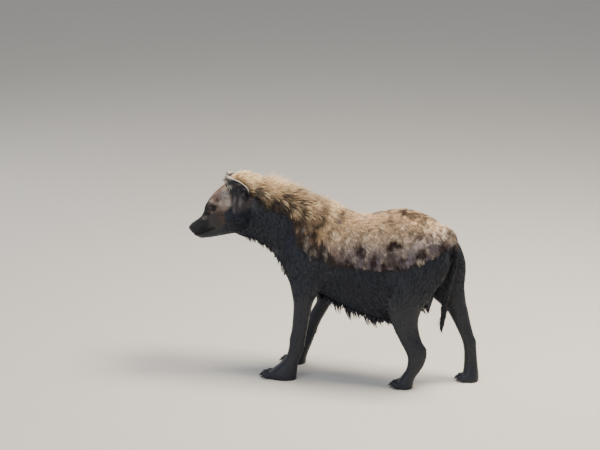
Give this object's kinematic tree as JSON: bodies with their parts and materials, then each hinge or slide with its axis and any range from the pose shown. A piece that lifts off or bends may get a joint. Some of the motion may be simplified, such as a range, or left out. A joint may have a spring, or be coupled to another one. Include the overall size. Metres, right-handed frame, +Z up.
{
  "type": "spotted hyena",
  "caption": "Spotted hyena standing on all fours with its head turned to the left, shaggy spotted back, erect mane and mud-wet lower half; a still life-size model for display",
  "frame": {"origin": "middle of the floor under the animal, at the level of its soles", "axes": "+X to the animal's left, -Y the way it faces, +Z up"},
  "size_m": [0.3298, 1.33, 0.9401],
  "materials": {
    "wet_coat": "short fur dark with wet mud, slight sheen",
    "dry_coat": "shaggy sandy fur with dark brown spots",
    "mane_hair": "long orange-tan hair, matte",
    "nose_skin": "moist black skin",
    "eye": "wet gloss, dark brown",
    "claw": "worn horn"
  },
  "bodies": {
    "root": {"claw_fore_left_1": "claw", "claw_fore_left_2": "claw", "claw_fore_left_3": "claw", "claw_fore_left_4": "claw", "claw_fore_right_1": "claw", "claw_fore_right_2": "claw", "claw_fore_right_3": "claw", "claw_fore_right_4": "claw", "claw_hind_left_1": "claw", "claw_hind_left_2": "claw", "claw_hind_left_3": "claw", "claw_hind_left_4": "claw", "claw_hind_right_1": "claw", "claw_hind_right_2": "claw", "claw_hind_right_3": "claw", "claw_hind_right_4": "claw", "ear_left": "wet_coat", "ear_right": "wet_coat", "eye_left": "eye", "eye_right": "eye", "foreleg_left_lower": "wet_coat", "foreleg_left_upper": "wet_coat", "foreleg_right_lower": "wet_coat", "foreleg_right_upper": "wet_coat", "forepaw_left": "wet_coat", "forepaw_right": "wet_coat", "head": "wet_coat", "hindpaw_left": "wet_coat", "hindpaw_right": "wet_coat", "hock_left": "wet_coat", "hock_right": "wet_coat", "jaw": "wet_coat", "neck": "mane_hair", "nose": "nose_skin", "shank_left": "wet_coat", "shank_right": "wet_coat", "tail_base": "dry_coat", "tail_brush": "wet_coat", "thigh_left": "wet_coat", "thigh_right": "wet_coat", "torso": "dry_coat", "udder": "wet_coat"}
  },
  "joints": []
}
